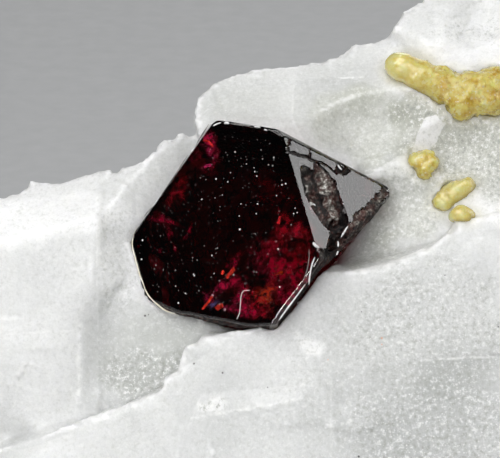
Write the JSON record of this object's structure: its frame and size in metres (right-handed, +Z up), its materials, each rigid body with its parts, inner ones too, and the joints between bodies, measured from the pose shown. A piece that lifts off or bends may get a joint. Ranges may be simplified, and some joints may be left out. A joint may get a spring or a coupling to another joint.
{
  "type": "spinel crystal on calcite matrix",
  "caption": "Dark red spinel octahedron set in a cleaved block of white calcite with small yellow grains, resting on a flat face.",
  "frame": {"origin": "middle of the box at the resting face", "axes": "+Z up from the resting face, +X to the right along the crest, -Y out of the front where the crystal sits"},
  "size_m": [0.0284, 0.0182, 0.0189],
  "materials": {
    "calcite": "white translucent calcite, cleaved and broken",
    "spinel": "dark red transparent crystal with bright polished faces",
    "yellow_grain": "amber yellow translucent grains, glossy and uneven"
  },
  "bodies": {
    "root": {"calcite_matrix": "calcite", "spinel_crystal": "spinel", "yellow_grain_large": "yellow_grain", "yellow_grain_upper": "yellow_grain", "yellow_grain_middle": "yellow_grain", "yellow_grain_lower": "yellow_grain"}
  },
  "joints": []
}
